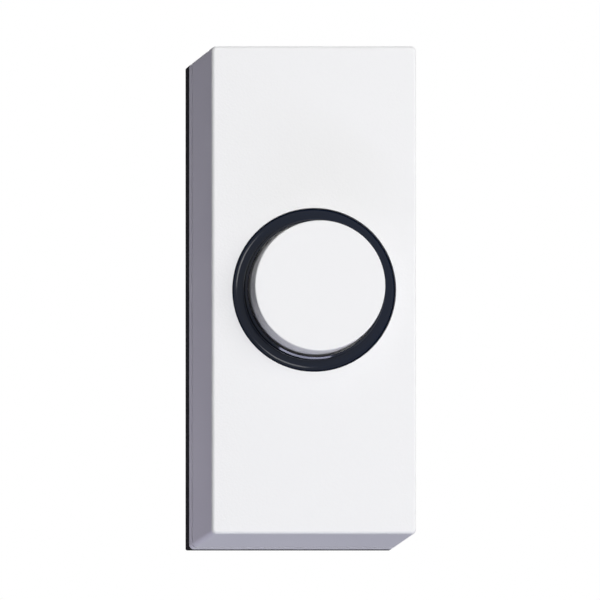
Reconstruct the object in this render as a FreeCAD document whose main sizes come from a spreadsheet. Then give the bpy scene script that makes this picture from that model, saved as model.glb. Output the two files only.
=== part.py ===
"""Surface-mounted doorbell push: a white cover on a black base, with a round sprung button.

Frame: millimetres, +Z up, +X to the right of someone facing the push, front towards -Y.
The wall is the plane Y = 0 and the origin is the middle of the base's back.
A place "deep" d is d millimetres in front of the wall, at Y = -d.
"""

import FreeCAD, Part
import math
import os

import Sketcher
from FreeCAD import Vector

SIZES = {
    # cover: white moulded box, open at the back
    "face_margin": 3.6,
    "cover_height": 83.0,
    "cover_depth": 15.0,
    "cover_wall": 1.8,
    "cover_draft_angle": 0.53,
    "cover_corner_radius": 0.8,
    "cover_edge_radius": 0.6,
    "rim_depth": 1.7,
    "rim_groove_width": 0.4,
    "rim_groove_depth": 0.15,
    # base: black moulded plate with a spigot that the cover snaps over
    "base_thickness": 2.6,
    "base_end_inset": 0.25,
    "base_corner_radius": 0.3,
    "spigot_height": 3.6,
    "spigot_wall": 1.2,
    "spigot_clearance": 0.15,
    "catch_width": 8.0,
    "catch_reach": 0.5,
    "catch_depth": 1.2,
    "catch_land": 0.4,
    "catch_place": 1.4,
    "catch_clearance": 0.2,
    "fixing_inset": 11.5,
    "fixing_hole_radius": 2.2,
    "fixing_boss_radius": 4.5,
    "fixing_boss_height": 2.0,
    "fixing_sink": 1.2,
    "cable_hole_radius": 4.0,
    "cable_hole_above_fixing": 10.0,
    # terminals and fixed contacts
    "terminal_side_gap": 0.75,
    "terminal_below_flange": 3.5,
    "pillar_height": 5.9,
    "terminal_block_width": 8.2,
    "terminal_block_height": 8.8,
    "contact_pillar_width": 5.2,
    "contact_pillar_overlap": 0.4,
    "contact_pillar_rise": 3.0,
    "pillar_spring_gap": 0.65,
    "pillar_skin": 1.2,
    "strip_thickness": 0.6,
    "strip_pad_width": 7.0,
    "strip_pad_height": 7.4,
    "strip_width": 4.0,
    "strip_end": 2.2,
    "peg_radius": 0.75,
    "peg_head_radius": 1.2,
    "peg_head_height": 0.4,
    "peg_drop": 8.0,
    "nut_across_flats": 5.5,
    "nut_thickness": 2.4,
    "nut_chamfer": 0.3,
    "nut_clearance": 0.1,
    "clamp_size": 6.6,
    "clamp_thickness": 0.8,
    "clamp_lip": 0.5,
    "screw_radius": 1.5,
    "screw_length": 5.2,
    "screw_head_radius": 2.7,
    "screw_head_height": 1.9,
    "screw_slot_width": 0.7,
    "screw_slot_depth": 0.9,
    "screw_edge_bevel": 0.3,
    "thread_clearance": 0.05,
    "pass_clearance": 0.1,
    "cut_overrun": 0.5,
    "tail_room": 0.5,
    "tip_radius": 1.4,
    "tip_height": 0.5,
    "tip_bevel": 0.3,
    "tip_shank_radius": 0.75,
    # surround: black moulded ring, staked to the back of the cover's face
    "surround_ring_width": 1.65,
    "surround_gap": 0.1,
    "surround_sink": 0.1,
    "surround_bevel": 0.4,
    "lip_height": 1.0,
    "lip_wall": 0.65,
    "lip_bevel": 0.2,
    "flange_thickness": 1.4,
    "flange_clearance": 0.4,
    "flange_margin": 4.2,
    "flange_corner_radius": 2.0,
    "stake_radius": 1.0,
    "stake_inset": 2.6,
    "stake_head_radius": 1.5,
    "stake_head_height": 0.6,
    "sleeve_spare": 1.1,
    # button: white moulded cap that slides in the surround
    "travel": 1.5,
    "cap_radius": 11.2,
    "cap_gap": 0.3,
    "cap_proud": 4.0,
    "cap_draft": 0.17,
    "cap_edge_bevel": 0.2,
    "cap_face_wall": 1.6,
    "cap_side_wall": 1.4,
    "cap_flange_reach": 1.0,
    "cap_flange_depth": 1.2,
    "cap_running_clearance": 0.05,
    "cap_boss_radius": 4.0,
    "cap_rib_width": 1.0,
    "cap_rib_depth": 3.5,
    "key_width": 2.0,
    "key_reach": 0.4,
    "key_clearance": 0.3,
    # moving contact and return spring
    "bridge_overhang": 2.0,
    "bridge_width": 5.0,
    "bridge_thickness": 0.5,
    "bridge_corner_radius": 1.2,
    "bridge_tip_height": 0.4,
    "washer_radius": 2.2,
    "washer_thickness": 0.4,
    "fixer_radius": 0.95,
    "fixer_head_radius": 1.9,
    "fixer_head_height": 1.2,
    "fixer_head_bevel": 0.6,
    "fixer_grip": 4.5,
    "fixer_slot_width": 0.5,
    "fixer_slot_depth": 0.6,
    "spring_radius": 3.0,
    "spring_wire_radius": 0.25,
    "spring_turns": 5.0,
    "post_radius": 2.2,
    "post_height": 3.4,
}


WIRE_SIDES = 6


class Size:
    """A length held both as its number and as the sheet's formula for it."""

    def __init__(self, number, formula):
        self.number = float(number)
        self.formula = formula

    def __add__(self, other):
        other = as_size(other)
        return Size(self.number + other.number, f"({self.formula} + {other.formula})")

    def __sub__(self, other):
        other = as_size(other)
        return Size(self.number - other.number, f"({self.formula} - {other.formula})")

    def __mul__(self, factor):
        return Size(self.number * factor, f"({self.formula} * {factor})")

    def __truediv__(self, divisor):
        return Size(self.number / divisor, f"({self.formula} / {divisor})")

    def __neg__(self):
        return self * -1


def as_size(value):
    """The value itself if it is a Size, or a Size of that plain number."""
    return value if isinstance(value, Size) else Size(value, repr(float(value)))


doc = FreeCAD.newDocument("bell_push")
sheet = doc.addObject("Spreadsheet::Sheet", "Sizes")
for row, (alias, number) in enumerate(SIZES.items(), start=1):
    sheet.set(f"A{row}", alias)
    sheet.set(f"B{row}", str(number))
    sheet.setAlias(f"B{row}", alias)
doc.recompute()


def s(alias):
    """The driving dimension of that name."""
    return Size(SIZES[alias], f"Sizes.{alias}")


ZERO = as_size(0)

# Depths from the wall that several pieces share.
base_face = s("base_thickness")
cover_front = base_face + s("cover_depth")
cover_inside = cover_front - s("cover_wall")
pillar_top = base_face + s("pillar_height")
strip_front = pillar_top + s("strip_thickness")
tip_front = strip_front + s("tip_height")
bridge_tip_back = tip_front + s("travel")
bridge_back = bridge_tip_back + s("bridge_tip_height")
bridge_front = bridge_back + s("bridge_thickness")
washer_back = bridge_back - s("washer_thickness")
clamp_front = strip_front + s("clamp_thickness")
surround_face = cover_front - s("surround_sink")
lip_front = cover_front + s("lip_height")
flange_back = cover_inside - s("flange_thickness")
cap_front = cover_front + s("cap_proud")
cap_inside = cap_front - s("cap_face_wall")
cap_flange_back = cover_inside - s("cap_flange_depth")
sleeve_back = cap_flange_back - s("travel") - s("sleeve_spare")

# Radii from the button outwards, which end in the cover's width.
lip_bore = s("cap_radius") + s("cap_gap")
lip_radius = lip_bore + s("lip_wall")
surround_radius = lip_radius + s("surround_ring_width")
hole_radius = surround_radius + s("surround_gap")
cover_width = (hole_radius + s("face_margin")) * 2
cavity_width = cover_width - s("cover_wall") * 2
cavity_height = s("cover_height") - s("cover_wall") * 2
spigot_width = cavity_width - s("spigot_clearance") * 2
spigot_length = cavity_height - s("spigot_clearance") * 2
fixing_up = s("cover_height") / 2 - s("fixing_inset")
cable_drop = fixing_up - s("cable_hole_above_fixing")
flange_height = (surround_radius + s("flange_margin")) * 2
cap_flange_radius = s("cap_radius") + s("cap_flange_reach")
sleeve_bore = cap_flange_radius + s("cap_running_clearance")
key_radius = cap_flange_radius + s("key_reach")
flange_width = cavity_width - s("flange_clearance") * 2
stake_across = flange_width / 2 - s("stake_inset")
stake_up = flange_height / 2 - s("stake_inset")
fixer_bore = s("fixer_radius") + s("thread_clearance")

# Places of the terminals, beside the spigot and below the flange, and of the contacts.
spring_outside = s("spring_radius") + s("spring_wire_radius")
contact_across = spring_outside + s("pillar_spring_gap") + s("contact_pillar_width") / 2
terminal_side = spigot_width / 2 - s("spigot_wall") - s("terminal_side_gap")
terminal_across = terminal_side - s("terminal_block_width") / 2
terminal_drop = flange_height / 2 + s("terminal_below_flange")


def bind(thing, name, value):
    """Ties a property to the sheet through its formula."""
    thing.setExpression(name, as_size(value).formula)


def new_body(label):
    """An empty PartDesign body, which becomes one piece of the push."""
    body = doc.addObject("PartDesign::Body", label)
    body.Label = label
    return body


class Drawing:
    """A sketch on one of its body's own planes, with each point placed by a Size."""

    def __init__(self, body, name, role="XZ_Plane", depth=ZERO):
        self.body = body
        self.sketch = body.newObject("Sketcher::SketchObject", f"{body.Label}_{name}")
        plane = [f for f in body.Origin.OriginFeatures if f.Role == role][0]
        self.sketch.AttachmentSupport = (plane, [""])
        self.sketch.MapMode = "FlatFace"
        bind(self.sketch, "AttachmentOffset.Base.z", depth)

    def tie(self, kind, value, *places):
        """Adds a constraint whose value follows the sheet."""
        index = self.sketch.addConstraint(
            Sketcher.Constraint(kind, *places, as_size(value).number)
        )
        bind(self.sketch, f"Constraints[{index}]", value)

    def pin(self, geometry, point, u, v):
        """Places one point of a line, arc or circle."""
        self.tie("DistanceX", u, -1, 1, geometry, point)
        self.tie("DistanceY", v, -1, 1, geometry, point)

    def join(self, first, second):
        """Joins the end of one line or arc to the start of the next."""
        self.sketch.addConstraint(Sketcher.Constraint("Coincident", first, 2, second, 1))

    def polygon(self, points):
        """A closed outline of straight lines through the points."""
        corners = [(as_size(u), as_size(v)) for u, v in points]
        lines = []
        for (u, v), (next_u, next_v) in zip(corners, corners[1:] + corners[:1]):
            start = Vector(u.number, v.number, 0)
            end = Vector(next_u.number, next_v.number, 0)
            lines.append(self.sketch.addGeometry(Part.LineSegment(start, end), False))
        for line, (u, v), following in zip(lines, corners, lines[1:] + lines[:1]):
            self.join(line, following)
            self.pin(line, 1, u, v)
        return self

    def rectangle(self, width, height, u=ZERO, v=ZERO):
        """A rectangle centred at u, v."""
        half_w, half_h = as_size(width) / 2, as_size(height) / 2
        left, right = as_size(u) - half_w, as_size(u) + half_w
        low, high = as_size(v) - half_h, as_size(v) + half_h
        return self.polygon([(left, low), (right, low), (right, high), (left, high)])

    def rounded_rectangle(self, width, height, radius, u=ZERO, v=ZERO):
        """A rectangle centred at u, v whose four corners are arcs."""
        half_w, half_h = as_size(width) / 2, as_size(height) / 2
        left, right = as_size(u) - half_w, as_size(u) + half_w
        low, high = as_size(v) - half_h, as_size(v) + half_h
        sides = [
            ((left + radius, low), (right - radius, low)),
            ((right, low + radius), (right, high - radius)),
            ((right - radius, high), (left + radius, high)),
            ((left, high - radius), (left, low + radius)),
        ]
        lines = []
        for (u1, v1), (u2, v2) in sides:
            start, end = Vector(u1.number, v1.number, 0), Vector(u2.number, v2.number, 0)
            line = self.sketch.addGeometry(Part.LineSegment(start, end), False)
            self.pin(line, 1, u1, v1)
            self.pin(line, 2, u2, v2)
            lines.append(line)
        spread = radius.number * (1 - 0.5**0.5)
        outer = [(right, low), (right, high), (left, high), (left, low)]
        for index, (corner_u, corner_v) in enumerate(outer):
            following = (index + 1) % 4
            begin = self.sketch.getPoint(lines[index], 2)
            finish = self.sketch.getPoint(lines[following], 1)
            inward_u = -1 if corner_u is right else 1
            inward_v = -1 if corner_v is high else 1
            middle = Vector(
                corner_u.number + inward_u * spread,
                corner_v.number + inward_v * spread,
                0,
            )
            arc = self.sketch.addGeometry(Part.Arc(begin, middle, finish), False)
            self.join(lines[index], arc)
            self.join(arc, lines[following])
            self.tie("Radius", radius, arc)
        return self

    def circle(self, radius, u=ZERO, v=ZERO):
        """A circle centred at u, v."""
        u, v, radius = as_size(u), as_size(v), as_size(radius)
        shape = Part.Circle(Vector(u.number, v.number, 0), Vector(0, 0, 1), radius.number)
        index = self.sketch.addGeometry(shape, False)
        self.pin(index, 3, u, v)
        self.tie("Radius", radius, index)
        return self

    def feature(self, kind, name, length, flip, taper=None):
        """The Pad or Pocket that this sketch drives."""
        made = self.body.newObject(f"PartDesign::{kind}", f"{self.body.Label}_{name}")
        made.Profile = self.sketch
        made.Reversed = flip
        bind(made, "Length", length)
        if taper is not None:
            bind(made, "TaperAngle", taper)
        doc.recompute()
        return made

    def pad(self, name, length, taper=None):
        """Adds material from the sketch towards the front."""
        return self.feature("Pad", name, length, False, taper)

    def pad_back(self, name, length):
        """Adds material from the sketch towards the wall."""
        return self.feature("Pad", name, length, True)

    def cut_back(self, name, length):
        """Takes material away from the sketch towards the wall."""
        return self.feature("Pocket", name, length, False)

    def cut_forward(self, name, length, taper=None):
        """Takes material away from the sketch towards the front."""
        return self.feature("Pocket", name, length, True, taper)

    def revolve(self, name):
        """Turns the profile, drawn as radius and -depth, once round the Y axis."""
        made = self.body.newObject("PartDesign::Revolution", f"{self.body.Label}_{name}")
        made.Profile = self.sketch
        made.ReferenceAxis = (self.sketch, ["V_Axis"])
        made.Angle = 360
        doc.recompute()
        return made


def profile(body, name, points):
    """A sketch of a turned outline, from pairs of radius and depth."""
    return Drawing(body, name, "XY_Plane").polygon([(r, -as_size(d)) for r, d in points])


def dress(body, kind, name, edges, size_property, value):
    """Adds a Fillet or Chamfer to the named edges of the body's last feature."""
    base = body.Tip
    made = body.newObject(f"PartDesign::{kind}", f"{body.Label}_{name}")
    made.Base = (base, edges)
    bind(made, size_property, value)
    doc.recompute()
    return made


def edges_at(body, depth, radius=None, u=0.0, v=0.0):
    """Names of the tip's edges that lie at one depth: all, or circles about (u, v)."""
    found = []
    for index, edge in enumerate(body.Tip.Shape.Edges, start=1):
        box = edge.BoundBox
        flat = max(abs(box.YMin + depth.number), abs(box.YMax + depth.number)) < 1e-4
        if not flat:
            continue
        if radius is not None:
            round_one = isinstance(edge.Curve, Part.Circle)
            if not round_one or abs(edge.Curve.Radius - radius.number) > 1e-4:
                continue
            centre = edge.Curve.Center
            if abs(centre.x - u) > 1e-4 or abs(centre.z - v) > 1e-4:
                continue
        found.append(f"Edge{index}")
    return found


def edges_between(body, back, front):
    """Names of the tip's edges that run from one depth to another."""
    found = []
    for index, edge in enumerate(body.Tip.Shape.Edges, start=1):
        box = edge.BoundBox
        reach = max(abs(box.YMax + back.number), abs(box.YMin + front.number))
        if reach < 1e-4:
            found.append(f"Edge{index}")
    return found


def bevel_ring(body, name, radius, depth, value, u=0.0, v=0.0):
    """Bevels a circular edge of the tip."""
    dress(body, "Chamfer", name, edges_at(body, depth, radius, u, v), "Size", value)


def make_cover():
    """The white cover: a drafted box with a round hole and a fine groove round its rim."""
    body = new_body("cover")
    outline = Drawing(body, "outline", depth=base_face)
    outline.rectangle(cover_width, s("cover_height"))
    outline.pad("box", s("cover_depth"), -s("cover_draft_angle"))
    corners = edges_between(body, base_face, cover_front)
    dress(body, "Fillet", "corners", corners, "Radius", s("cover_corner_radius"))
    face_edges = edges_at(body, cover_front)
    dress(body, "Fillet", "face_edge", face_edges, "Radius", s("cover_edge_radius"))

    cavity = Drawing(body, "cavity_outline", depth=base_face)
    cavity.rectangle(cavity_width, cavity_height)
    cavity.cut_forward("cavity", cover_inside - base_face, -s("cover_draft_angle"))
    corners = edges_between(body, base_face, cover_inside)
    dress(body, "Fillet", "cavity_corners", corners, "Radius", s("cover_corner_radius"))

    hole = Drawing(body, "hole_outline", depth=cover_front)
    hole.circle(hole_radius)
    hole.cut_back("hole", s("cover_wall"))

    groove_front = base_face + s("rim_depth") + s("rim_groove_width")
    groove = Drawing(body, "groove_outline", depth=groove_front)
    beyond = s("cut_overrun") * 2
    groove.rectangle(cover_width + beyond, s("cover_height") + beyond)
    groove.rounded_rectangle(
        cover_width - s("rim_groove_depth") * 2,
        s("cover_height") - s("rim_groove_depth") * 2,
        s("cover_corner_radius"),
    )
    groove.cut_back("groove", s("rim_groove_width"))

    # Two slots in the end walls take the base's catches.
    slot_back = base_face + s("catch_place") - s("catch_clearance")
    slot = Drawing(body, "slot_outline", depth=slot_back)
    slot_width = s("catch_width") + s("catch_clearance") * 2
    slot.rectangle(slot_width, cavity_height + s("catch_reach") * 2)
    slot.cut_forward("slots", s("catch_depth") + s("catch_clearance") * 2)

    # Four pins on the back of the face are melted over the surround's flange.
    pins = Drawing(body, "pin_outline", depth=cover_inside)
    heads = Drawing(body, "pin_head_outline", depth=flange_back)
    for side in (-1, 1):
        for end in (-1, 1):
            pins.circle(s("stake_radius"), stake_across * side, stake_up * end)
            heads.circle(s("stake_head_radius"), stake_across * side, stake_up * end)
    pins.pad_back("pins", s("flange_thickness"))
    heads.pad_back("pin_heads", s("stake_head_height"))
    return body


def make_base():
    """The black base: plate, spigot with catches, screw bosses, pillars and spring post."""
    body = new_body("base_plate")
    outline = Drawing(body, "outline")
    plate_height = s("cover_height") - s("base_end_inset") * 2
    outline.rounded_rectangle(cover_width, plate_height, s("base_corner_radius"))
    outline.pad("plate", base_face)

    spigot = Drawing(body, "spigot_outline", depth=base_face)
    spigot.rounded_rectangle(spigot_width, spigot_length, s("cover_corner_radius"))
    spigot.rectangle(
        spigot_width - s("spigot_wall") * 2, spigot_length - s("spigot_wall") * 2
    )
    spigot.pad("spigot", s("spigot_height"))

    # Each catch is a wedge on the spigot's end, square behind and sloped in front.
    catches = Drawing(body, "catch_outline", "YZ_Plane", -s("catch_width") / 2)
    catch_back = base_face + s("catch_place")
    for end in (-1, 1):
        root = spigot_length / 2 * end
        nose = (spigot_length / 2 + s("spigot_clearance") + s("catch_reach") / 2) * end
        catches.polygon(
            [
                (-catch_back, root),
                (-catch_back, nose),
                (-(catch_back + s("catch_land")), nose),
                (-(catch_back + s("catch_depth")), root),
            ]
        )
    catches.feature("Pad", "catches", s("catch_width"), False)

    bosses = Drawing(body, "boss_outline", depth=base_face)
    boss_front = base_face + s("fixing_boss_height")
    holes = Drawing(body, "fixing_outline", depth=boss_front)
    for end in (-1, 1):
        bosses.circle(s("fixing_boss_radius"), 0, fixing_up * end)
        holes.circle(s("fixing_hole_radius"), 0, fixing_up * end)
    bosses.pad("bosses", s("fixing_boss_height"))
    holes.cut_back("fixing_holes", boss_front)
    for end, name in ((-1, "sink_low"), (1, "sink_high")):
        radius, sink = s("fixing_hole_radius"), s("fixing_sink")
        bevel_ring(body, name, radius, boss_front, sink, 0.0, fixing_up.number * end)

    cable = Drawing(body, "cable_outline", depth=base_face)
    cable.circle(s("cable_hole_radius"), 0, -cable_drop)
    cable.cut_back("cable_hole", base_face)

    post = Drawing(body, "post_outline", depth=base_face)
    post.circle(s("post_radius"))
    post.pad("spring_post", s("post_height"))

    add_pillars(body)
    return body


def add_pillars(body):
    """Two moulded pillars carry the terminals and the fixed contacts."""
    block_top = -terminal_drop + s("terminal_block_height") / 2
    pillar_foot = block_top - s("contact_pillar_overlap")
    pillar_length = s("contact_pillar_rise") - pillar_foot
    pillar_middle = (s("contact_pillar_rise") + pillar_foot) / 2
    blocks = Drawing(body, "block_outline", depth=base_face)
    pillars = Drawing(body, "pillar_outline", depth=base_face)
    nuts = Drawing(body, "nut_outline", depth=pillar_top)
    tails = Drawing(body, "tail_outline", depth=pillar_top)
    cores = Drawing(body, "core_outline")
    pegs = Drawing(body, "peg_outline", depth=pillar_top)
    heads = Drawing(body, "peg_head_outline", depth=strip_front)
    nut_room = s("nut_across_flats") + s("nut_clearance") * 2
    tail_radius = s("screw_radius") + s("pass_clearance")
    for side in (-1, 1):
        terminal_u = terminal_across * side
        terminal_v = -terminal_drop
        contact_u = contact_across * side
        blocks.rectangle(
            s("terminal_block_width"), s("terminal_block_height"), terminal_u, terminal_v
        )
        pillars.rectangle(
            s("contact_pillar_width"), pillar_length, contact_u, pillar_middle
        )
        nuts.rectangle(nut_room, nut_room, terminal_u, terminal_v)
        tails.circle(tail_radius, terminal_u, terminal_v)
        cores.rectangle(
            s("contact_pillar_width") - s("pillar_skin") * 2,
            pillar_length - s("pillar_skin") * 2,
            contact_u,
            pillar_middle,
        )
        pegs.circle(s("peg_radius"), contact_u, -s("peg_drop"))
        heads.circle(s("peg_head_radius"), contact_u, -s("peg_drop"))
    blocks.pad("terminal_blocks", s("pillar_height"))
    pillars.pad("contact_pillars", s("pillar_height"))
    nuts.cut_back("nut_pockets", s("nut_thickness"))
    screw_tail = s("screw_length") - s("clamp_thickness") - s("strip_thickness")
    tails.cut_back("tail_holes", screw_tail + s("tail_room"))
    cores.cut_forward("cores", pillar_top - s("pillar_skin"))
    pegs.pad("pegs", s("strip_thickness"))
    heads.pad("peg_heads", s("peg_head_height"))


def make_surround():
    """The black surround: flange behind the face, sleeve, flat ring and raised round lip."""
    body = new_body("button_surround")
    flange = Drawing(body, "flange_outline", depth=flange_back)
    flange.rounded_rectangle(flange_width, flange_height, s("flange_corner_radius"))
    for side in (-1, 1):
        for end in (-1, 1):
            hole_radius = s("stake_radius") + s("pass_clearance")
            flange.circle(hole_radius, stake_across * side, stake_up * end)
    flange.pad("flange", s("flange_thickness"))

    ring = Drawing(body, "sleeve_outline", depth=sleeve_back)
    ring.circle(surround_radius)
    ring.pad("sleeve", surround_face - sleeve_back)
    lip = Drawing(body, "lip_outline", depth=surround_face)
    lip.circle(lip_radius)
    lip.pad("lip", lip_front - surround_face)
    bore = Drawing(body, "bore_outline", depth=lip_front)
    bore.circle(lip_bore)
    bore.cut_back("bore", lip_front - sleeve_back)
    step = Drawing(body, "step_outline", depth=sleeve_back)
    step.circle(sleeve_bore)
    step.cut_forward("step", cover_inside - sleeve_back)

    # The button's keys run in two slots, so it can't turn.
    slots = Drawing(body, "slot_outline", depth=sleeve_back)
    slot_half = key_radius + s("key_clearance")
    slots.rectangle(s("key_width") + s("key_clearance") * 2, slot_half * 2)
    slots.cut_forward("key_slots", cover_inside - sleeve_back)

    bevel_ring(body, "rim_bevel", surround_radius, surround_face, s("surround_bevel"))
    bevel_ring(body, "lip_outer_bevel", lip_radius, lip_front, s("lip_bevel"))
    bevel_ring(body, "lip_inner_bevel", lip_bore, lip_front, s("lip_bevel"))
    return body


def make_cap():
    """The white button: a cup with a retaining flange, ribs, keys and a middle boss."""
    body = new_body("button_cap")
    inner = s("cap_radius") - s("cap_side_wall")
    grip_end = bridge_front + s("fixer_grip") + s("tail_room")
    points = [
        (ZERO, cap_front),
        (s("cap_radius") - s("cap_draft"), cap_front),
        (s("cap_radius"), cover_inside),
        (cap_flange_radius, cover_inside),
        (cap_flange_radius, cap_flange_back),
        (inner, cap_flange_back),
        (inner, cap_inside),
        (s("cap_boss_radius"), cap_inside),
        (s("cap_boss_radius"), bridge_back),
        (fixer_bore, bridge_back),
        (fixer_bore, grip_end),
        (ZERO, grip_end),
    ]
    profile(body, "section", points).revolve("turned")
    front_radius = s("cap_radius") - s("cap_draft")
    bevel_ring(body, "front_bevel", front_radius, cap_front, s("cap_edge_bevel"))

    rib_length = inner * 2 + s("cap_side_wall") / 2
    hub = Drawing(body, "rib_across_outline", depth=cap_inside)
    hub.rectangle(rib_length, s("cap_rib_width"))
    hub.pad_back("rib_across", s("cap_rib_depth"))
    stem = Drawing(body, "rib_upright_outline", depth=cap_inside)
    stem.rectangle(s("cap_rib_width"), rib_length)
    stem.pad_back("rib_upright", s("cap_rib_depth"))
    bore = Drawing(body, "fixer_bore_outline", depth=bridge_back)
    bore.circle(fixer_bore)
    bore.cut_forward("fixer_bore", grip_end - bridge_back)

    keys = Drawing(body, "key_outline", depth=cap_flange_back)
    for end in (-1, 1):
        middle = (cap_flange_radius - s("cap_flange_reach") / 2 + key_radius) / 2
        depth_of_key = key_radius - (cap_flange_radius - s("cap_flange_reach") / 2)
        keys.rectangle(s("key_width"), depth_of_key, 0, middle * end)
    keys.pad("keys", s("cap_flange_depth"))

    seat = Drawing(body, "bridge_seat_outline", depth=bridge_back)
    seat.rectangle(
        (s("cap_boss_radius") + s("cut_overrun")) * 2,
        s("bridge_width") + s("pass_clearance") * 2,
    )
    seat.cut_forward("bridge_seat", s("bridge_thickness"))
    return body


def make_strip(side, name):
    """A fixed brass strip: terminal pad at its foot, contact at its upper end."""
    body = new_body(f"contact_strip_{name}")
    pad_low = -terminal_drop - s("strip_pad_height") / 2
    pad_high = -terminal_drop + s("strip_pad_height") / 2
    pad_in = terminal_across - s("strip_pad_width") / 2
    pad_out = terminal_across + s("strip_pad_width") / 2
    strip_in = contact_across - s("strip_width") / 2
    strip_out = contact_across + s("strip_width") / 2
    points = [
        (pad_in, pad_low),
        (pad_out, pad_low),
        (pad_out, pad_high),
        (strip_out, pad_high),
        (strip_out, s("strip_end")),
        (strip_in, s("strip_end")),
        (strip_in, pad_high),
        (pad_in, pad_high),
    ]
    outline = Drawing(body, "outline", depth=pillar_top)
    outline.polygon([(u * side, v) for u, v in points])
    terminal_u = terminal_across * side
    contact_u = contact_across * side
    pass_radius = s("screw_radius") + s("pass_clearance")
    outline.circle(pass_radius, terminal_u, -terminal_drop)
    outline.circle(s("peg_radius") + s("pass_clearance"), contact_u, -s("peg_drop"))
    outline.circle(s("tip_shank_radius"), contact_u, 0)
    outline.pad("strip", s("strip_thickness"))
    return body


def make_tip(label, u, head_back, head_height, shank_back, shank_length):
    """A contact rivet: a domed head, and a shank through its strip."""
    body = new_body(label)
    head = Drawing(body, "head_outline", depth=head_back)
    head.circle(s("tip_radius"), u, 0)
    head.pad("head", head_height)
    shank = Drawing(body, "shank_outline", depth=shank_back)
    shank.circle(s("tip_shank_radius"), u, 0)
    shank.pad("shank", shank_length)
    return body


def make_fixed_tip(side, name):
    """The rivet on a fixed strip, domed towards the front."""
    u = contact_across * side
    body = make_tip(
        f"contact_tip_{name}",
        u,
        strip_front,
        s("tip_height"),
        pillar_top,
        s("strip_thickness"),
    )
    bevel_ring(body, "dome", s("tip_radius"), tip_front, s("tip_bevel"), u.number)
    return body


def make_bridge_tip(side, name):
    """The rivet on the moving bridge, domed towards the wall."""
    u = contact_across * side
    body = make_tip(
        f"bridge_tip_{name}",
        u,
        bridge_tip_back,
        s("bridge_tip_height"),
        bridge_back,
        s("bridge_thickness"),
    )
    bevel_ring(body, "dome", s("tip_radius"), bridge_tip_back, s("tip_bevel"), u.number)
    return body


def make_nut(side, name):
    """A square nut held in the base's pillar, under the strip."""
    body = new_body(f"terminal_nut_{name}")
    u, v = terminal_across * side, -terminal_drop
    nut_back = pillar_top - s("nut_thickness")
    outline = Drawing(body, "outline", depth=nut_back)
    outline.rectangle(s("nut_across_flats"), s("nut_across_flats"), u, v)
    outline.circle(s("screw_radius") + s("thread_clearance"), u, v)
    outline.pad("nut", s("nut_thickness"))
    bore = s("screw_radius") + s("thread_clearance")
    bevel_ring(body, "lead_in", bore, pillar_top, s("nut_chamfer"), u.number, v.number)
    return body


def make_clamp(side, name):
    """A square clamp washer with two lips turned back to hold the wire."""
    body = new_body(f"terminal_clamp_{name}")
    u, v = terminal_across * side, -terminal_drop
    outline = Drawing(body, "outline", depth=strip_front)
    outline.rectangle(s("clamp_size"), s("clamp_size"), u, v)
    outline.circle(s("screw_radius") + s("pass_clearance"), u, v)
    outline.pad("clamp", s("clamp_thickness"))
    lips = Drawing(body, "lip_outline", depth=clamp_front)
    for end in (-1, 1):
        lip_v = v + (s("clamp_size") / 2 - s("clamp_lip") / 2) * end
        lips.rectangle(s("clamp_size"), s("clamp_lip"), u, lip_v)
    lips.pad("lips", s("clamp_lip"))
    return body


def make_screw(side, name):
    """A slotted cheese-head screw through clamp and strip into the nut."""
    body = new_body(f"terminal_screw_{name}")
    u, v = terminal_across * side, -terminal_drop
    head_front = clamp_front + s("screw_head_height")
    head = Drawing(body, "head_outline", depth=clamp_front)
    head.circle(s("screw_head_radius"), u, v)
    head.pad("head", s("screw_head_height"))
    bevel = s("screw_edge_bevel")
    bevel_ring(body, "head_edge", s("screw_head_radius"), head_front, bevel, u.number, v.number)
    shank = Drawing(body, "shank_outline", depth=clamp_front)
    shank.circle(s("screw_radius"), u, v)
    shank.pad_back("shank", s("screw_length"))
    slot = Drawing(body, "slot_outline", depth=head_front)
    slot_length = (s("screw_head_radius") + s("cut_overrun")) * 2
    slot.rectangle(slot_length, s("screw_slot_width"), u, v)
    slot.cut_back("slot", s("screw_slot_depth"))
    return body


def make_bridge():
    """The phosphor bronze bridge that closes the circuit between the two fixed tips."""
    body = new_body("contact_bridge")
    outline = Drawing(body, "outline", depth=bridge_back)
    outline.rounded_rectangle(
        (contact_across + s("bridge_overhang")) * 2,
        s("bridge_width"),
        s("bridge_corner_radius"),
    )
    outline.circle(fixer_bore)
    for side in (-1, 1):
        outline.circle(s("tip_shank_radius"), contact_across * side, 0)
    outline.pad("bridge", s("bridge_thickness"))
    return body


def make_bridge_washer():
    """The plain washer under the bridge screw's head."""
    body = new_body("bridge_washer")
    outline = Drawing(body, "outline", depth=washer_back)
    outline.circle(s("washer_radius"))
    outline.circle(fixer_bore)
    outline.pad("washer", s("washer_thickness"))
    return body


def make_bridge_screw():
    """The small screw that holds the bridge in the cap's boss."""
    body = new_body("bridge_screw")
    head_back = washer_back - s("fixer_head_height")
    tip_depth = bridge_front + s("fixer_grip")
    points = [
        (ZERO, head_back),
        (s("fixer_head_radius"), head_back),
        (s("fixer_head_radius"), washer_back),
        (s("fixer_radius"), washer_back),
        (s("fixer_radius"), tip_depth - s("fixer_radius")),
        (ZERO, tip_depth),
    ]
    profile(body, "section", points).revolve("turned")
    bevel = s("fixer_head_bevel")
    bevel_ring(body, "head_dome", s("fixer_head_radius"), head_back, bevel)
    slot = Drawing(body, "slot_outline", depth=head_back)
    slot_length = (s("fixer_head_radius") + s("cut_overrun")) * 2
    slot.rectangle(slot_length, s("fixer_slot_width"))
    slot.cut_forward("slot", s("fixer_slot_depth"))
    return body


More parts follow.
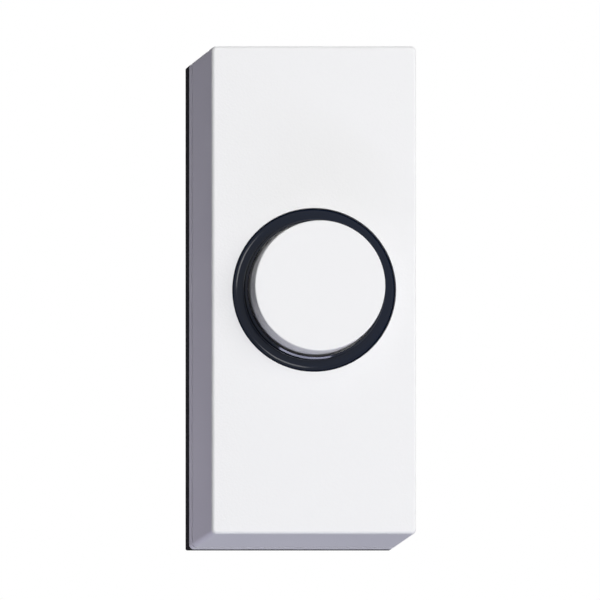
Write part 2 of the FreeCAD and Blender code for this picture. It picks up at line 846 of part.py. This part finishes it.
def make_spring():
    """The return spring, between the base and the button's boss, its wire drawn six-sided."""
    body = new_body("return_spring")
    wire = Drawing(body, "wire_outline", "XY_Plane")
    middle = base_face + s("spring_wire_radius")
    corners = []
    for index in range(WIRE_SIDES):
        turn = math.tau * index / WIRE_SIDES
        out = s("spring_radius") + s("spring_wire_radius") * math.sin(turn)
        corners.append((out, -(middle + s("spring_wire_radius") * math.cos(turn))))
    wire.polygon(corners)
    coil = body.newObject("PartDesign::AdditiveHelix", "return_spring_coil")
    coil.Profile = wire.sketch
    coil.ReferenceAxis = (wire.sketch, ["V_Axis"])
    coil.Mode = "height-turns-angle"
    coil.Angle = 0
    coil.Growth = 0
    coil.Reversed = True
    bind(coil, "Height", bridge_back - base_face - s("spring_wire_radius") * 2)
    bind(coil, "Turns", s("spring_turns"))
    doc.recompute()
    return body


SIDES = ((-1, "left"), (1, "right"))
bodies = [make_base(), make_cover(), make_surround(), make_cap()]
for side, name in SIDES:
    bodies.append(make_strip(side, name))
    bodies.append(make_fixed_tip(side, name))
    bodies.append(make_nut(side, name))
    bodies.append(make_clamp(side, name))
    bodies.append(make_screw(side, name))
    bodies.append(make_bridge_tip(side, name))
bodies += [make_bridge(), make_bridge_washer(), make_bridge_screw(), make_spring()]
doc.recompute()

for thing in doc.Objects:
    if "Invalid" in thing.State or "Error" in thing.State:
        raise RuntimeError(f"{thing.Label} did not build: {thing.State}")
for body in bodies:
    if body.Shape.isNull() or not body.Shape.isValid():
        raise RuntimeError(f"{body.Label} has no valid shape")
    if len(body.Shape.Solids) != 1:
        raise RuntimeError(f"{body.Label} is not one solid")

os.makedirs("parts", exist_ok=True)
for body in bodies:
    body.Shape.exportStep(f"parts/{body.Label}.step")
    print(body.Label, round(body.Shape.Volume, 2))
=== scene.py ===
"""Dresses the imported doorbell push, lights it and sets the camera. Metres, +Z up, front at -Y."""
import math

import bmesh
import bpy
import numpy as np
from mathutils import Matrix, Vector


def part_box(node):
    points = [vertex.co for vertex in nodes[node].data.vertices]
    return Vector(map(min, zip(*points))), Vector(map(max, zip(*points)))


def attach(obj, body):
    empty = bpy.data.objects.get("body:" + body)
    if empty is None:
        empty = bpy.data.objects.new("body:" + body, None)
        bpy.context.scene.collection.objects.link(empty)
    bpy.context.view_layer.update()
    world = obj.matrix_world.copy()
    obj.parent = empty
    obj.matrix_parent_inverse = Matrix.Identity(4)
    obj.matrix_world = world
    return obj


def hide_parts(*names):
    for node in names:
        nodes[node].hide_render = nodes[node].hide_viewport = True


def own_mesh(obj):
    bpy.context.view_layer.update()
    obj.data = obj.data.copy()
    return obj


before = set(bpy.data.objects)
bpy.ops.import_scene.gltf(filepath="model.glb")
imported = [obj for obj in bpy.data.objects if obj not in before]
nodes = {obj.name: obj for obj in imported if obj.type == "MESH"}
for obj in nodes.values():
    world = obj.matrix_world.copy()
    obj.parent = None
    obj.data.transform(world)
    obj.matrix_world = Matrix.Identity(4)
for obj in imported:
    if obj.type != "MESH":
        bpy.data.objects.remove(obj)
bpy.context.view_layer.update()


# Base plate: a thin black ABS moulding that is screwed to the wall and shows as a dark edge.
# Its mould left a fine satin face, and the cover snaps over the spigot that it carries.
MM = 0.001
ABS_IOR = 1.53
FLOW_SPAN = 12 * MM


def colour(hex_code):
    """The linear RGBA of an sRGB hex colour such as #f0f0f0."""
    levels = [int(hex_code[i : i + 2], 16) / 255 for i in (1, 3, 5)]
    linear = [c / 12.92 if c <= 0.04045 else ((c + 0.055) / 1.055) ** 2.4 for c in levels]
    return (*linear, 1.0)


def add(tree, kind, values=None, links=None, **settings):
    """Adds a node with its settings, input values and the outputs that feed its inputs."""
    node = tree.nodes.new(kind)
    for name, setting in settings.items():
        setattr(node, name, setting)
    for name, value in (values or {}).items():
        node.inputs[name].default_value = value
    for name, output in (links or {}).items():
        tree.links.new(output, node.inputs[name])
    return node


def moulded_plastic(name, body_colour, roughness, specular, grain, grain_depth, drift=0.03):
    """Injection-moulded ABS: one colour all through, with the mould's grain on its skin.

    The grain is one fine noise as bump, a few times coarser than the real one so that it shows.
    The roughness drifts by a little each way, as the plastic's flow leaves it.
    """
    material = bpy.data.materials.new(name)
    material.use_nodes = True
    tree = material.node_tree
    tree.nodes.clear()
    place = add(tree, "ShaderNodeTexCoord").outputs["Object"]
    fine = add(tree, "ShaderNodeTexNoise", {"Scale": 1 / grain, "Detail": 2.0}, {"Vector": place})
    flow = add(tree, "ShaderNodeTexNoise", {"Scale": 1 / FLOW_SPAN, "Detail": 3.0}, {"Vector": place})
    sheen = add(
        tree,
        "ShaderNodeMapRange",
        {"From Min": 0.3, "From Max": 0.7, "To Min": roughness - drift, "To Max": roughness + drift},
        {"Value": flow.outputs["Fac"]},
    )
    bump = add(
        tree,
        "ShaderNodeBump",
        {"Strength": 1.0, "Distance": grain_depth},
        {"Height": fine.outputs["Fac"]},
    )
    skin = add(
        tree,
        "ShaderNodeBsdfPrincipled",
        {"Base Color": colour(body_colour), "IOR": ABS_IOR, "Specular IOR Level": specular},
        {"Roughness": sheen.outputs["Result"], "Normal": bump.outputs["Normal"]},
    )
    add(tree, "ShaderNodeOutputMaterial", links={"Surface": skin.outputs["BSDF"]})
    return material


def wear(piece, material):
    """Gives a piece one material in its first slot."""
    if piece.data.materials:
        piece.data.materials[0] = material
    else:
        piece.data.materials.append(material)


# Black ABS from a blasted mould: nearly no shine, so its edge stays dark beside the white cover.
black_satin = moulded_plastic("black_abs_satin", "#19181c", 0.8, 0.02, 0.22 * MM, 0.006 * MM)
wear(nodes["base_plate"], black_satin)


# Cover: a white ABS box, open at the back, moulded with a matt face and a small round at its edges.
# It snaps over the base, and the button's surround is staked to the back of its face.
# White ABS from a spark-eroded mould: an even matt white with a fine, slightly uneven grain.
white_matt = moulded_plastic("white_abs_matt", "#f0f0f0", 0.6, 0.1, 0.35 * MM, 0.024 * MM)
wear(nodes["cover"], white_matt)


# Surround: a polished black ABS moulding, a flat ring with a thin raised lip round the button.
# Its sleeve guides the button, and its flange behind the face is held by four melted pins.
ring_radius = 13.8 * MM
crown_across = 0.95 * MM
crown_drop = 0.45 * MM
lip_radius = 11.88 * MM
lip_bore = 11.5 * MM
lip_bevel = 0.28 * MM
lip_inner_bevel = 0.06 * MM
lip_soft = 0.02 * MM
lip_foot_round = 0.12 * MM
sleeve_bore = 12.25 * MM
flange_corner = 2.0 * MM
flange_thickness = 1.4 * MM
stake_radius = 1.1 * MM
stake_inset = 2.6 * MM
key_slot_half = 1.3 * MM
key_slot_reach = 12.9 * MM
cover_wall = 1.8 * MM
ring_sink = 0.1 * MM
cover_face = -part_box("cover")[0].y
cover_inside = cover_face - cover_wall


def rounded(corners, steps, guard_share=0.25):
    """An outline through (radius, depth, round) corners, each round one an arc of that radius.

    The arc turns evenly about the point that lies its radius from both of the corner's sides.
    A guard point on each side, a share of the radius away, keeps the flats flat where they meet it.
    """
    places = np.array([corner[:2] for corner in corners], float)
    pieces = []
    for index, (*_, bend) in enumerate(corners):
        here = places[index]
        if not bend:
            pieces.append(here[None])
            continue
        back = places[index - 1] - here
        onward = places[(index + 1) % len(places)] - here
        back, onward = back / np.hypot(*back), onward / np.hypot(*onward)
        half = math.acos(float(np.clip(back @ onward, -1, 1))) / 2
        middle = here + (back + onward) / np.hypot(*(back + onward)) * bend / math.sin(half)
        start = here + back * bend / math.tan(half) - middle
        end = here + onward * bend / math.tan(half) - middle
        sweep = math.pi - 2 * half
        along = np.linspace(0, 1, steps + 1)[:, None]
        arc = np.sin((1 - along) * sweep) * start + np.sin(along * sweep) * end
        arc = middle + arc / math.sin(sweep)
        guard = bend * guard_share
        pieces.append(np.concatenate([arc[:1] + back * guard, arc, arc[-1:] + onward * guard]))
    return np.concatenate(pieces)


CREASE = math.radians(35)
SAME_PLACE = 0.0005 * MM


def surface(name, grid, closed_outline=True):
    """A mesh over a grid of points that closes round its first index and, if asked, its second."""
    count, length = grid.shape[:2]
    index = np.arange(count * length).reshape(count, length)
    beside = np.roll(index, -1, axis=0)
    span = slice(None) if closed_outline else slice(0, -1)
    ahead, beside_ahead = np.roll(index, -1, axis=1), np.roll(beside, -1, axis=1)
    faces = np.stack([index, ahead, beside_ahead, beside], axis=-1)[:, span].reshape(-1, 4)
    mesh = bpy.data.meshes.new(name)
    mesh.from_pydata(grid.reshape(-1, 3).tolist(), [], faces.tolist())
    work = bmesh.new()
    work.from_mesh(mesh)
    bmesh.ops.remove_doubles(work, verts=work.verts, dist=SAME_PLACE)
    bmesh.ops.recalc_face_normals(work, faces=work.faces)
    work.to_mesh(mesh)
    work.free()
    mesh.polygons.foreach_set("use_smooth", np.ones(len(mesh.polygons), bool))
    mesh.set_sharp_from_angle(angle=CREASE)
    piece = bpy.data.objects.new(name, mesh)
    bpy.context.scene.collection.objects.link(piece)
    return piece


def turned(name, outline, angles, across=0.0, up=0.0, closed_outline=True):
    """A turned surface: each outline point (radius, depth) goes round an axis along Y."""
    radius, depth = outline[..., 0], outline[..., 1]
    turn = angles[:, None]
    x = across + radius * np.cos(turn)
    z = up + radius * np.sin(turn)
    y = -depth + 0 * turn
    return surface(name, np.stack([x, y, z], axis=-1), closed_outline)


def combine(piece, tool, how):
    """Cuts a tool piece out of a piece, or joins it on, and keeps only the result."""
    change = piece.modifiers.new(how, "BOOLEAN")
    change.operation = how
    change.solver = "EXACT"
    change.object = tool
    bpy.context.view_layer.update()
    view = bpy.context.evaluated_depsgraph_get()
    made = bpy.data.meshes.new_from_object(piece.evaluated_get(view))
    piece.modifiers.clear()
    piece.data = made
    bpy.data.objects.remove(tool)
    made.polygons.foreach_set("use_smooth", np.ones(len(made.polygons), bool))
    made.set_sharp_from_angle(angle=CREASE)


def round_angles(count):
    """Angles once round, evenly spaced."""
    return np.linspace(0, math.tau, count, endpoint=False)


def flange_reach(turn, half_width, half_height, corner):
    """How far a rounded rectangle reaches from its middle in each direction.

    That is to the nearer of its two sides, or in a corner to the circle that rounds it.
    """
    across, up = np.abs(np.cos(turn)), np.abs(np.sin(turn))
    side = np.minimum(half_width / np.maximum(across, 1e-9), half_height / np.maximum(up, 1e-9))
    centre_x, centre_z = half_width - corner, half_height - corner
    along = across * centre_x + up * centre_z
    beyond = along**2 - (centre_x**2 + centre_z**2 - corner**2)
    bend = along + np.sqrt(np.maximum(beyond, 0))
    in_corner = (side * across > centre_x) & (side * up > centre_z)
    return np.where(in_corner, bend, side)


surround_low, surround_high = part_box("button_surround")
lip_front, sleeve_back = -surround_low.y, -surround_high.y
ring_face = cover_face - ring_sink
flange_back = cover_inside - flange_thickness
# In the outline these stand for a radius that changes on the way round.
BORE, FLANGE = -1.0, -2.0
lip_side = rounded(
    [
        (BORE, sleeve_back, 0),
        (BORE, cover_inside, 0),
        (lip_bore, cover_inside, 0),
        (lip_bore, lip_front - lip_inner_bevel, lip_soft),
        (lip_bore + lip_inner_bevel, lip_front, lip_soft),
        (lip_radius - lip_bevel, lip_front, lip_soft),
        (lip_radius, lip_front - lip_bevel, lip_soft),
        (lip_radius, ring_face, lip_foot_round),
        (ring_radius - crown_across, ring_face, 0),
    ],
    8,
)
# The ring's outer edge is a quarter of an ellipse, which falls away from the flat.
fall = np.linspace(0, math.pi / 2, 25)
crown_radius = ring_radius - crown_across * (1 - np.sin(fall))
crown = np.stack([crown_radius, ring_face - crown_drop * (1 - np.cos(fall))], axis=1)
back_side = np.array(
    [
        (ring_radius, cover_inside),
        (FLANGE, cover_inside),
        (FLANGE, flange_back),
        (ring_radius, flange_back),
        (ring_radius, sleeve_back),
    ]
)
outline = np.concatenate([lip_side, crown, back_side])
# The key slots' sides are steps in the bore, each between two angles that are nearly the same.
slot_turn = math.acos(key_slot_half / sleeve_bore)
slot_sides = [slot_turn, math.pi - slot_turn, math.pi + slot_turn, math.tau - slot_turn]
step_angle = 0.0002
slot_angles = np.add.outer(slot_sides, [-step_angle, step_angle]).ravel()
angles = np.sort(np.concatenate([round_angles(256), slot_angles]))
in_slot = np.abs(np.cos(angles)) < key_slot_half / sleeve_bore
slot_depth = key_slot_reach / np.maximum(np.abs(np.sin(angles)), 0.5)
bore = np.where(in_slot, slot_depth, sleeve_bore)
reach = flange_reach(angles, surround_high.x, surround_high.z, flange_corner)
radius = np.where(outline[:, 0] == BORE, bore[:, None], outline[None, :, 0])
radius = np.where(outline[:, 0] == FLANGE, reach[:, None], radius)
depth = np.broadcast_to(outline[:, 1], radius.shape)
ring = turned("surround", np.stack([radius, depth], axis=-1), angles)
for side in (-1, 1):
    for end in (-1, 1):
        across = (surround_high.x - stake_inset) * side
        up = (surround_high.z - stake_inset) * end
        pin = [(0, flange_back - MM), (stake_radius, flange_back - MM)]
        pin = np.array([*pin, (stake_radius, cover_inside + MM), (0, cover_inside + MM)])
        pin_hole = turned("pin_hole", pin, round_angles(48), across, up, closed_outline=False)
        combine(ring, pin_hole, "DIFFERENCE")
# Black ABS from a polished mould: clear, narrow lights on its crown and lip. Its colour is the real
# black with a painted blue reflection, standing in for the bluish studio that the ring mirrors.
black_polished = moulded_plastic("black_abs_polished", "#020e22", 0.1, 0.22, 0.5 * MM, 0.0005 * MM)
wear(ring, black_polished)
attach(ring, "housing")
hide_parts("button_surround")


# Button: a white ABS cap with a flat satin face, moulded as a ribbed cup with flange and two keys.
# It slides in the surround's sleeve, and the boss in its middle carries the moving contact.
cap_low, cap_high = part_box("button_cap")
cap_front, boss_back = -cap_low.y, -cap_high.y
cap_radius = 11.2 * MM
cap_front_radius = 11.03 * MM
cap_round = 0.2 * MM
cap_flange_radius = 12.2 * MM
cap_flange_thickness = 1.2 * MM
cap_flange_back = cover_inside - cap_flange_thickness
cap_bore = 9.8 * MM
cap_face_wall = 1.6 * MM
cap_inside = cap_front - cap_face_wall
boss_radius = 4.0 * MM
screw_bore = 1.0 * MM
screw_bore_end = 17.0 * MM
rib_half = 0.5 * MM
rib_height = 3.5 * MM
rib_back = cap_inside - rib_height
key_half = 1.0 * MM
key_inner = 11.7 * MM
seat_half = 2.6 * MM
seat_depth = 0.5 * MM
join_depth = 0.3 * MM
soft = 0.15 * MM
rib_soft = 0.1 * MM
key_soft = 0.2 * MM
seat_soft = 0.1 * MM


def block(name, low, high, edge):
    """A block with rounded edges: a rounded rectangle carried along its depth, from back to front."""
    (x0, y0, z0), (x1, y1, z1) = low, high
    half_w, half_h = (x1 - x0) / 2 - edge, (z1 - z0) / 2 - edge
    turn = round_angles(32) + math.pi / 32
    x = (x0 + x1) / 2 + half_w * np.sign(np.cos(turn)) + edge * np.cos(turn)
    z = (z0 + z1) / 2 + half_h * np.sign(np.sin(turn)) + edge * np.sin(turn)
    rim = np.stack([x, np.full_like(x, y0), z], axis=-1)
    middle = np.array([(x0 + x1) / 2, y0, (z0 + z1) / 2])
    lift = np.array([0, y1 - y0, 0])
    rows = [np.broadcast_to(middle, rim.shape), rim, rim + lift]
    rows.append(np.broadcast_to(middle + lift, rim.shape))
    return surface(name, np.stack(rows, axis=1), closed_outline=False)


cap_outline = rounded(
    [
        (0, cap_front, 0),
        (cap_front_radius, cap_front, cap_round),
        (cap_radius, cover_inside, 0),
        (cap_flange_radius, cover_inside, soft),
        (cap_flange_radius, cap_flange_back, soft),
        (cap_bore, cap_flange_back, soft),
        (cap_bore, cap_inside, soft),
        (boss_radius, cap_inside, soft),
        (boss_radius, boss_back, soft),
        (screw_bore, boss_back, 0),
        (screw_bore, screw_bore_end, 0),
        (0, screw_bore_end, 0),
    ],
    6,
)
cap = turned("button", cap_outline, round_angles(256), closed_outline=False)
rib_end = cap_bore + join_depth
for half_x, half_z in ((rib_end, rib_half), (rib_half, rib_end)):
    low = (-half_x, -(cap_inside + join_depth), -half_z)
    high = (half_x, -rib_back, half_z)
    combine(cap, block("rib", low, high, rib_soft), "UNION")
bore_line = [(0, screw_bore_end), (0, boss_back - MM), (screw_bore, boss_back - MM)]
bore_line = np.array([*bore_line, (screw_bore, screw_bore_end)])
combine(cap, turned("screw_hole", bore_line, round_angles(64)), "DIFFERENCE")
for end in (-1, 1):
    near, far = sorted((key_inner * end, cap_high.z * end))
    low = (-key_half, -cover_inside, near)
    high = (key_half, -cap_flange_back, far)
    combine(cap, block("key", low, high, key_soft), "UNION")
seat_low = (-boss_radius - MM, -(boss_back + seat_depth), -seat_half)
seat_high = (boss_radius + MM, -boss_back + MM, seat_half)
combine(cap, block("seat", seat_low, seat_high, seat_soft), "DIFFERENCE")
# White ABS, satin from finer sparks and from fingers: a little smoother than the cover.
white_satin = moulded_plastic("white_abs_satin", "#ededed", 0.38, 0.3, 0.3 * MM, 0.003 * MM)
wear(cap, white_satin)
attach(cap, "button")
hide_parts("button_cap")


# Return spring: a coil of drawn steel wire with closed ends, between the base and the boss.
# The real spring shortens as the button goes in; here it is built at one length only.
wire_radius = 0.25 * MM
coil_radius = 3.0 * MM
coil_turns = 6.5
closed_turns = 0.9
open_gap = 1.6 * MM
coil_low, coil_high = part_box("return_spring")
coil_front, coil_back = -coil_low.y, -coil_high.y


def coil(name, steps_a_turn, sides):
    """A round wire along a helix whose pitch closes to one wire's width over each end turn.

    The depth is the running sum of the pitch, scaled to fill the space from the base to the boss.
    The wire's circle stands in the plane through the axis, which its slight slope allows.
    """
    steps = int(coil_turns * steps_a_turn)
    turns = np.linspace(0, coil_turns, steps + 1)
    ends = np.clip(np.minimum(turns, coil_turns - turns) / closed_turns, 0, 1)
    rate = 2 * wire_radius + ends**2 * (3 - 2 * ends) * open_gap
    rise = np.concatenate([[0], np.cumsum((rate[1:] + rate[:-1]) / 2)])
    span = coil_front - coil_back - 2 * wire_radius
    depth = coil_back + wire_radius + rise / rise[-1] * span
    around = round_angles(sides)[:, None]
    radius = coil_radius + wire_radius * np.cos(around)
    x = radius * np.cos(turns * math.tau)
    z = radius * np.sin(turns * math.tau)
    y = -(depth + wire_radius * np.sin(around))
    grid = np.stack([x, y, z], axis=-1)
    caps = grid[:, [0, -1]].mean(axis=0, keepdims=True)
    first = np.broadcast_to(caps[:, :1], (sides, 1, 3))
    last = np.broadcast_to(caps[:, 1:], (sides, 1, 3))
    return surface(name, np.concatenate([first, grid, last], axis=1), closed_outline=False)


spring = coil("spring", 72, 16)


# Metals inside the push: rolled or turned brass, rolled bronze, silver rivets and bright zinc.
# Each keeps the fine marks of its making, and its shine dulls in patches where it has tarnished.
TARNISH_SPAN = 3 * MM
TARNISH_DULLS = 0.15


def metal(name, body_colour, roughness, mark, mark_depth, stretch=(1, 1, 1)):
    """A bare or plated metal whose marks run along the axis with the smallest stretch."""
    material = bpy.data.materials.new(name)
    material.use_nodes = True
    tree = material.node_tree
    tree.nodes.clear()
    place = add(tree, "ShaderNodeTexCoord").outputs["Object"]
    lay = add(tree, "ShaderNodeMapping", {"Scale": stretch}, {"Vector": place})
    lay = lay.outputs["Vector"]
    marks = add(tree, "ShaderNodeTexNoise", {"Scale": 1 / mark, "Detail": 4.0}, {"Vector": lay})
    tarnish = add(tree, "ShaderNodeTexNoise", {"Scale": 1 / TARNISH_SPAN}, {"Vector": place})
    dull = add(
        tree,
        "ShaderNodeMapRange",
        {
            "From Min": 0.3,
            "From Max": 0.7,
            "To Min": roughness,
            "To Max": roughness + TARNISH_DULLS,
        },
        {"Value": tarnish.outputs["Fac"]},
    )
    bump = add(
        tree,
        "ShaderNodeBump",
        {"Strength": 1.0, "Distance": mark_depth},
        {"Height": marks.outputs["Fac"]},
    )
    skin = add(
        tree,
        "ShaderNodeBsdfPrincipled",
        {"Base Color": colour(body_colour), "Metallic": 1.0},
        {"Roughness": dull.outputs["Result"], "Normal": bump.outputs["Normal"]},
    )
    add(tree, "ShaderNodeOutputMaterial", links={"Surface": skin.outputs["BSDF"]})
    return material


wear(spring, metal("drawn_spring_wire", "#8f9093", 0.28, 0.06 * MM, 0.002 * MM))
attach(spring, "housing")
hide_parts("return_spring")
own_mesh(spring)
terminals = ["terminal_clamp_left", "terminal_clamp_right"]
terminals += ["terminal_screw_left", "terminal_screw_right"]
rivets = ["contact_tip_left", "contact_tip_right", "bridge_tip_left", "bridge_tip_right"]
plated = ["terminal_nut_left", "terminal_nut_right", "bridge_washer", "bridge_screw"]
metals = {
    "rolled_brass": ("#d9b469", ["contact_strip_left", "contact_strip_right"]),
    "turned_brass": ("#d4ad60", terminals),
    "rolled_bronze": ("#c08a62", ["contact_bridge"]),
    "silver_rivet": ("#e6e5e1", rivets),
    "bright_zinc": ("#c3c6c9", plated),
}
along_the_wall = (1, 1, 0.15)
for name, (hue, members) in metals.items():
    finish = metal(name, hue, 0.25, 0.08 * MM, 0.002 * MM, along_the_wall)
    for member in members:
        wear(nodes[member], finish)


# Surroundings: an even white studio, dim and slightly blue as a light, with a pale floor far below.
# Soft boxes light it: two make the lights on the ring, two the side walls, and the rest are fills.
ambient_level = 0.04
backdrop_level = 1.0
world = bpy.data.worlds.new("studio")
bpy.context.scene.world = world
world.use_nodes = True
air = world.node_tree
air.nodes.clear()


def shown(tree):
    """One for rays from the camera, a gloss or a clear piece, which see the backdrop, else zero."""
    path = add(tree, "ShaderNodeLightPath").outputs
    seen = {0: path["Is Camera Ray"], 1: path["Is Glossy Ray"]}
    seen = add(tree, "ShaderNodeMath", links=seen, operation="MAXIMUM").outputs[0]
    seen = {0: seen, 1: path["Is Transmission Ray"]}
    return add(tree, "ShaderNodeMath", links=seen, operation="MAXIMUM").outputs[0]


ambient = add(air, "ShaderNodeBackground", {"Color": colour("#dcdcff"), "Strength": ambient_level})
white = add(air, "ShaderNodeBackground", {"Color": (1, 1, 1, 1), "Strength": backdrop_level})
either = add(
    air,
    "ShaderNodeMixShader",
    links={0: shown(air), 1: ambient.outputs[0], 2: white.outputs[0]},
)
add(air, "ShaderNodeOutputWorld", links={"Surface": either.outputs[0]})

floor_drop = 0.55
floor_reach = 6.0
corners = np.array([(-1, -1), (1, -1), (1, 1), (-1, 1)]) * floor_reach
floor_mesh = bpy.data.meshes.new("floor")
floor_mesh.from_pydata([(x, y, -floor_drop) for x, y in corners], [], [(0, 1, 2, 3)])
floor = bpy.data.objects.new("floor", floor_mesh)
bpy.context.scene.collection.objects.link(floor)
paint = bpy.data.materials.new("pale_floor")
paint.use_nodes = True
coat = paint.node_tree
coat.nodes.clear()
lit = add(coat, "ShaderNodeBsdfDiffuse", {"Color": colour("#707070")})
pale = add(coat, "ShaderNodeEmission", {"Color": colour("#f4f4f4"), "Strength": 0.9})
both = add(coat, "ShaderNodeAddShader", links={0: lit.outputs[0], 1: pale.outputs[0]})
floor_look = add(
    coat,
    "ShaderNodeMixShader",
    links={0: shown(coat), 1: lit.outputs[0], 2: both.outputs[0]},
)
add(coat, "ShaderNodeOutputMaterial", links={"Surface": floor_look.outputs[0]})
wear(floor, paint)


def lamp(name, place, width, height, strength, tint="#ffffff", mirrored=True):
    """A soft box at a place, turned to face the middle of the push.

    A fill that isn't mirrored lights the white faces and leaves no glint in the polished ring.
    """
    light = bpy.data.lights.new(name, "AREA")
    light.shape = "RECTANGLE"
    light.size = width
    light.size_y = height
    light.energy = strength
    light.color = colour(tint)[:3]
    holder = bpy.data.objects.new(name, light)
    bpy.context.scene.collection.objects.link(holder)
    holder.location = place
    holder.rotation_mode = "QUATERNION"
    holder.rotation_quaternion = (-Vector(place)).to_track_quat("-Z", "Y")
    holder.visible_camera = False
    holder.visible_glossy = mirrored


lamp("key_high", (-0.12, -1.43, 0.45), 0.32, 0.32, 2.4)
lamp("key_low", (0.16, -1.48, -0.20), 0.32, 0.32, 2.1)
lamp("low_strip", (0.022, -0.125, -0.49), 0.5, 0.018, 0.70, "#e0e2ff")
lamp("low_left", (-0.16, 0.15, -0.10), 0.12, 0.12, 0.185, "#e4dcf8")
lamp("front", (0.45, -1.6, 0.10), 1.0, 1.0, 10.2, "#ffffff", False)
lamp("right", (1.0, -1.0, 0.20), 1.1, 1.1, 8.0, "#ffffff", False)
lamp("top", (0.15, -1.1, 0.85), 1.1, 0.8, 4.0, "#ffffff", False)
lamp("back", (0.25, 0.8, 0.25), 0.5, 0.5, 6.0)


# Camera: looks at the face from the lower left through a long lens, as the photograph does.
# The photograph keeps the face's true outline, as a camera does whose film stands parallel to it,
# so the camera's frame is slanted: across is +X, up is +Z, and only its line of sight leans.
face_pixels_per_metre = 5900.0
cover_depth = 15 * MM
back_left_pixels, back_down_pixels = 22.55, 16.6
lean = Vector((back_left_pixels, 0, back_down_pixels)) / (cover_depth * face_pixels_per_metre)
sight = (Vector((0, -1, 0)) - lean).normalized()
face_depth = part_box("cover")[0].y
aim = Vector((-2.41 * MM, face_depth, -1.72 * MM))
distance = 2.1
film = 36.0
frame_pixels = 600
camera_data = bpy.data.cameras.new("camera")
camera_data.sensor_width = film
camera_data.lens = film * distance / (frame_pixels / face_pixels_per_metre)
camera_data.clip_end = 30.0
camera = bpy.data.objects.new("camera", camera_data)
stand = bpy.data.objects.new("camera_stand", None)
bpy.context.scene.collection.objects.link(stand)
bpy.context.scene.collection.objects.link(camera)
camera.parent = stand
slanted = Matrix((Vector((1, 0, 0)), Vector((0, 0, 1)), sight)).transposed().to_4x4()
slanted.translation = aim + sight * distance
camera.matrix_parent_inverse = slanted
bpy.context.scene.camera = camera
bpy.context.scene.view_settings.view_transform = "Standard"
